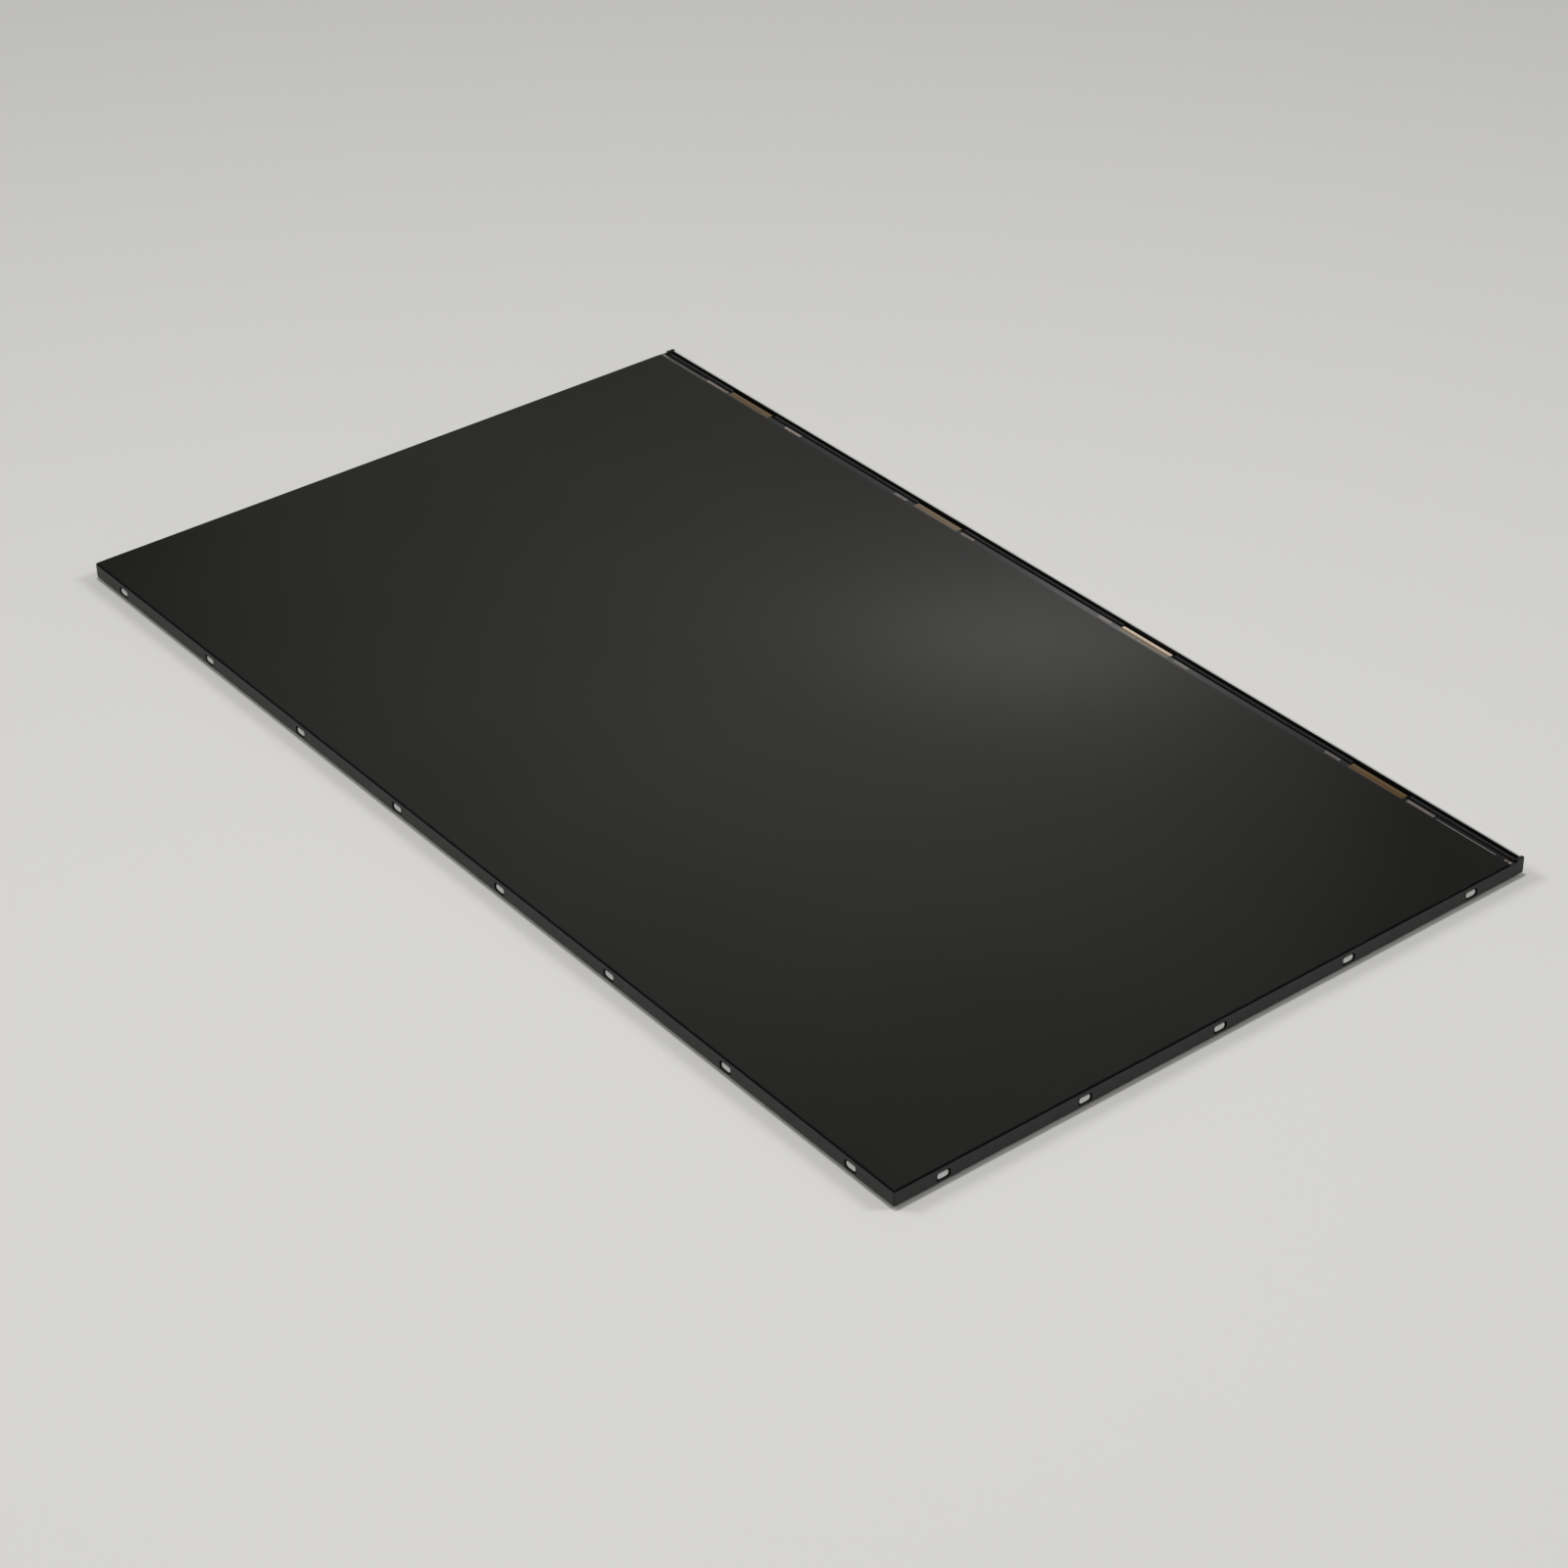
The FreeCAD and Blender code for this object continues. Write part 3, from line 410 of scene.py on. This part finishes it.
def make_bright_sheet():
    """Tin-plated sheet with rolling lines along its length, painted shade inside its raised wall."""
    material, tree, shader = new_material("bright_sheet")
    lines = noise(tree, scale=2600.0, stretch=(0.02, 1.0, 1.0))
    # Painted shade: the raised wall's inner face is coloured black and is not metallic
    raised = calculate(tree, "GREATER_THAN", axis_value(tree, "Y"), WALL_SHADE_FROM_MM)
    inside = calculate(tree, "MULTIPLY", facing_front(tree), raised)
    colour = mix(tree, inside, two_tones(tree, lines, COVER_TONES), WALL_SHADE_COLOUR)
    set_finish(tree, shader, colour, spread(tree, lines, low=0.24, high=0.36))
    metal = calculate(tree, "MULTIPLY", calculate(tree, "SUBTRACT", 1.0, inside), SHEET_METAL)
    tree.links.new(metal, shader.inputs["Metallic"])
    bump(tree, shader, lines, strength=0.12, depth_mm=0.01)
    return material


def make_cell_glass():
    """Thin glass: the upper plate's bare step, and the lower plate's dark ledge with its fine lines."""
    material, tree, shader = new_material("cell_glass")
    ledge = two_tones(tree, stripes(tree, scale=420.0, distortion=0.4), LEDGE_TONES)
    step = two_tones(tree, noise(tree, scale=220.0), STEP_TONES)
    edge = two_tones(tree, noise(tree, scale=300.0), GLASS_EDGE_TONES)
    on_step = calculate(tree, "GREATER_THAN", axis_value(tree, "Z"), GLASS_STEP_MM)
    colour = mix(tree, facing_up(tree), edge, mix(tree, on_step, ledge, step))
    roughness = spread(tree, noise(tree, scale=60.0), low=0.05, high=0.08)
    set_finish(tree, shader, colour, roughness, specular=0.14)
    return material


def make_polyimide(name, tones):
    """Golden-brown film with fine copper tracks, with tones of its own at its bond and at its fold."""
    material, tree, shader = new_material(name)
    start, end = FILM_REACH_MM
    inputs = {"Value": axis_value(tree, "Y"), "From Min": start, "From Max": end}
    along = add(tree, "ShaderNodeMapRange", inputs).outputs["Result"]
    film = ramp(tree, along, [(share, tone) for zone, tone in zip(FILM_ZONES, tones) for share in zone])
    tracks = stripes(tree, scale=700.0, distortion=0.2)
    shade = two_tones(tree, tracks, TRACK_SHADES, span=NARROW_MIDDLE)
    colour = mix(tree, 1.0, film, shade, blend_type="MULTIPLY")
    roughness = spread(tree, noise(tree, scale=500.0), low=0.10, high=0.15)
    set_finish(tree, shader, colour, roughness, specular=0.32)
    bump(tree, shader, tracks, strength=0.2, depth_mm=0.01)
    return material


def make_circuit_board():
    """Green solder mask over copper areas."""
    material, tree, shader = new_material("circuit_board")
    inputs = {"Vector": place(tree), "Scale": 260.0, "Randomness": 0.8}
    areas = add(tree, "ShaderNodeTexVoronoi", inputs, distance="CHEBYCHEV").outputs["Distance"]
    colour = two_tones(tree, areas, BOARD_TONES, span=(0.15, 0.45))
    set_finish(tree, shader, colour, spread(tree, noise(tree, scale=900.0), low=0.25, high=0.35))
    bump(tree, shader, areas, strength=0.2, depth_mm=0.02)
    return material


def make_package():
    """White light package with a yellow phosphor face."""
    material, tree, shader = new_material("light_package")
    body = two_tones(tree, noise(tree, scale=800.0), PACKAGE_TONES)
    phosphor = two_tones(tree, noise(tree, scale=1500.0), PHOSPHOR_TONES)
    colour = mix(tree, facing_front(tree), body, phosphor)
    set_finish(tree, shader, colour, spread(tree, noise(tree, scale=1200.0), low=0.35, high=0.5))
    return material


def make_materials():
    """Every finish by its slot's name."""
    materials = {name: make_plain(name, **finish) for name, finish in PLAIN_FINISHES.items()}
    materials["galvanised_steel"] = make_galvanised()
    materials["bright_sheet"] = make_bright_sheet()
    materials["screen_film"] = make_screen_film()
    materials["cell_glass"] = make_cell_glass()
    materials["polyimide"] = make_polyimide("polyimide", FILM_TONES)
    materials["circuit_board"] = make_circuit_board()
    materials["light_package"] = make_package()
    return materials


MATERIALS = make_materials()


def dress_nodes():
    """Gives every CAD node the finish of its slot."""
    slots = {item["node"]: item["material_slot"] for item in frame["record"]["subparts"]}
    for name, node in NODES.items():
        node.data.materials.clear()
        node.data.materials.append(MATERIALS[slots[name]])
    # One film's bond and fold carry a painted highlight
    NODES[HIGHLIGHTED_FILM].data.materials[0] = make_polyimide("polyimide_painted_highlight", FILM_PAINTED_HIGHLIGHT_TONES)


def new_object(name, data):
    """An object in the scene that holds a mesh, a lamp or a camera."""
    item = bpy.data.objects.new(name, data)
    bpy.context.scene.collection.objects.link(item)
    return item


def mesh_object(name, mesh, material):
    """A finished mesh with its material."""
    data = bpy.data.meshes.new(name)
    mesh.to_mesh(data)
    mesh.free()
    data.materials.append(material)
    return new_object(name, data)


def new_piece(name, mesh, finish):
    """A mesh that rides on the module."""
    piece = mesh_object(name, mesh, MATERIALS[finish])
    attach(piece, "root")


def add_block(mesh, low, high):
    """One rectangular block between two corners."""
    low, high = Vector(low), Vector(high)
    size = high - low
    transform = Matrix.Translation((low + high) / 2) @ Matrix.Diagonal((*size, 1.0))
    bmesh.ops.create_cube(mesh, size=1.0, matrix=transform)


def make_test_pads():
    """Rows of thin metal fingers on the glass ledge, with the bare lines and marks at its ends."""
    ledge_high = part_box("tft_glass")[1]
    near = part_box("colour_filter_glass")[1].y + PAD_INSET_MM * MM
    far = ledge_high.y - PAD_INSET_MM * MM
    top = ledge_high.z + PAD_THICKNESS_MM * MM
    mesh = bmesh.new()
    for first, last, width in PAD_ROWS_MM:
        for index in range(round((last - first) / PAD_PITCH_MM)):
            left = (first + index * PAD_PITCH_MM) * MM
            add_block(mesh, (left, near, ledge_high.z), (left + width * MM, far, top))
    for first, last in BUS_LINES_MM:
        add_block(mesh, (first * MM, near, ledge_high.z), (last * MM, near + BUS_WIDTH_MM * MM, top))
    for side in (-1, 1):
        for first, last in MARKS_MM:
            low, high = sorted((side * first * MM, side * last * MM))
            add_block(mesh, (low, near, ledge_high.z), (high, near + MARK_LENGTH_MM * MM, top))
    new_piece("test_pads", mesh, "pad_metal")


def make_screw_recess_shade():
    """A dark cross on the middle of each screw head: painted shade for its cross recess."""
    low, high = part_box("cover_screws")
    radius = (high.y - low.y) / 2
    pitch = (high.x - low.x - 2 * radius) / (SCREW_COUNT - 1)
    long, short = CROSS_LENGTH_MM * MM / 2, CROSS_WIDTH_MM * MM / 2
    thickness = CROSS_THICKNESS_MM * MM
    mesh = bmesh.new()
    for index in range(SCREW_COUNT):
        middle = Vector((low.x + radius + index * pitch, low.y + radius, low.z))
        for reach in (Vector((long, short, thickness)), Vector((short, long, thickness))):
            add_block(mesh, middle - reach, middle + reach)
    new_piece("screw_recess_shade", mesh, "screw_recess")


def make_floor():
    """A wide pale floor, with painted shade that darkens it far away."""
    material, tree, shader = new_material("floor")
    away = (-CAMERA_PLACE).xy.normalized().to_3d()
    far = smooth_step(tree, dot(tree, place(tree), away), *FLOOR_FALLOFF_BLEND)
    tree.links.new(two_tones(tree, far, FLOOR_FALLOFF_TONES, span=(0.0, 1.0)), shader.inputs["Base Color"])
    shader.inputs["Roughness"].default_value = FLOOR_ROUGHNESS
    shader.inputs["Specular IOR Level"].default_value = FLOOR_SPECULAR
    mesh = bmesh.new()
    bmesh.ops.create_grid(mesh, x_segments=1, y_segments=1, size=FLOOR_REACH)
    floor = mesh_object("floor", mesh, material)


def add_glow(tree, ray, spot, strength, spreads):
    """A soft patch of sky in the direction that a spot of the screen mirrors to the camera."""
    view = Vector((*spot, CAD_BOX[1].z)) - CAMERA_PLACE
    middle = Vector((view.x, view.y, -view.z)).normalized()
    across = middle.cross(UP).normalized()
    squares = 0.0
    for axis, reach in zip((across, across.cross(middle)), spreads):
        offset = calculate(tree, "DIVIDE", dot(tree, ray, axis), reach)
        squares = calculate(tree, "ADD", calculate(tree, "MULTIPLY", offset, offset), squares)
    falloff = calculate(tree, "EXPONENT", calculate(tree, "MULTIPLY", squares, -0.5))
    ahead = calculate(tree, "GREATER_THAN", dot(tree, ray, middle), 0.0)
    return calculate(tree, "MULTIPLY", calculate(tree, "MULTIPLY", falloff, ahead), strength)


def make_sky():
    """Even light all round, with the soft glows that the screen mirrors."""
    world = bpy.data.worlds.new("sky")
    world.use_nodes = True
    tree = world.node_tree
    ray = add(tree, "ShaderNodeTexCoord").outputs["Generated"]
    strength = SKY_STRENGTH
    for glow in GLOWS:
        strength = calculate(tree, "ADD", add_glow(tree, ray, *glow), strength)
    sky = tree.nodes["Background"]
    sky.inputs["Color"].default_value = SKY_COLOUR
    tree.links.new(calculate(tree, "MAXIMUM", strength, 0.0), sky.inputs["Strength"])
    bpy.context.scene.world = world


def hang_lamp(name, kind, strength, location, towards):
    """A lamp with its back towards a direction, which the glossy faces don't mirror."""
    lamp = bpy.data.lights.new(name, kind)
    lamp.energy = strength
    holder = new_object(name, lamp)
    holder.location = location
    holder.rotation_euler = towards.to_track_quat("Z", "Y").to_euler()
    holder.visible_glossy = False
    return lamp


def make_lamps():
    """The lamp overhead and the two windows."""
    lamp = hang_lamp("ceiling_lamp", "AREA", LAMP_WATTS, LAMP_PLACE, UP)
    lamp.size = LAMP_SIZE
    for index, towards in enumerate(WINDOWS_TOWARDS):
        window = hang_lamp(f"window_{index}", "SUN", WINDOW_STRENGTH, towards, towards)
        window.angle = math.radians(WINDOW_ANGLE)


def make_camera():
    """The photograph's viewing angle and frame."""
    data = bpy.data.cameras.new("camera")
    data.sensor_width = SENSOR_MM
    data.lens = FOCAL_PIXELS / IMAGE_PIXELS * SENSOR_MM
    data.clip_start = CAMERA_CLIP
    camera = new_object("camera", data)
    turn = (Matrix.Rotation(math.radians(CAMERA_AZIMUTH), 4, "Z")
            @ Matrix.Rotation(math.radians(90.0 - CAMERA_ELEVATION), 4, "X")
            @ Matrix.Rotation(math.radians(CAMERA_ROLL), 4, "Z"))
    camera.matrix_world = Matrix.Translation(CAMERA_PLACE) @ turn
    bpy.context.scene.camera = camera


dress_nodes()
make_test_pads()
make_screw_recess_shade()
make_floor()
make_sky()
make_lamps()
make_camera()
bpy.context.scene.view_settings.view_transform = "Standard"
